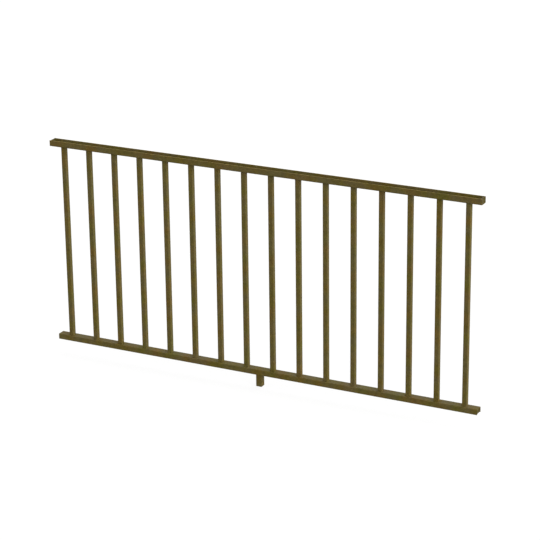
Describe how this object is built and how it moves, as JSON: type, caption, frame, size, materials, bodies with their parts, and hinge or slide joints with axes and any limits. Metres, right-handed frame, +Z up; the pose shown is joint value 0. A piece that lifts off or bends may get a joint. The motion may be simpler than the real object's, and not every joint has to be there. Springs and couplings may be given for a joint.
{
  "type": "deck railing section",
  "caption": "Flat welded steel railing panel for a deck: square tube balusters between channel-section rails, with a short capped support leg under the middle; hangs between posts.",
  "frame": {"origin": "on the deck under the middle of the panel, on the underside of the support leg's cap", "axes": "+X along the rails, +Y through the panel, +Z up"},
  "size_m": [1.828, 0.038, 0.893],
  "materials": {
    "powder_coated_steel": "satin bronze powder coat",
    "cap_plastic": "moulded, matt dark bronze"
  },
  "bodies": {
    "root": {"top_rail": "powder_coated_steel", "bottom_rail": "powder_coated_steel", "top_rail_left_plate": "powder_coated_steel", "top_rail_right_plate": "powder_coated_steel", "bottom_rail_left_plate": "powder_coated_steel", "bottom_rail_right_plate": "powder_coated_steel", "baluster_01": "powder_coated_steel", "baluster_02": "powder_coated_steel", "baluster_03": "powder_coated_steel", "baluster_04": "powder_coated_steel", "baluster_05": "powder_coated_steel", "baluster_06": "powder_coated_steel", "baluster_07": "powder_coated_steel", "baluster_08": "powder_coated_steel", "baluster_09": "powder_coated_steel", "baluster_10": "powder_coated_steel", "baluster_11": "powder_coated_steel", "baluster_12": "powder_coated_steel", "baluster_13": "powder_coated_steel", "baluster_14": "powder_coated_steel", "baluster_15": "powder_coated_steel", "baluster_16": "powder_coated_steel", "support_leg": "powder_coated_steel", "leg_cap": "cap_plastic"}
  },
  "joints": []
}
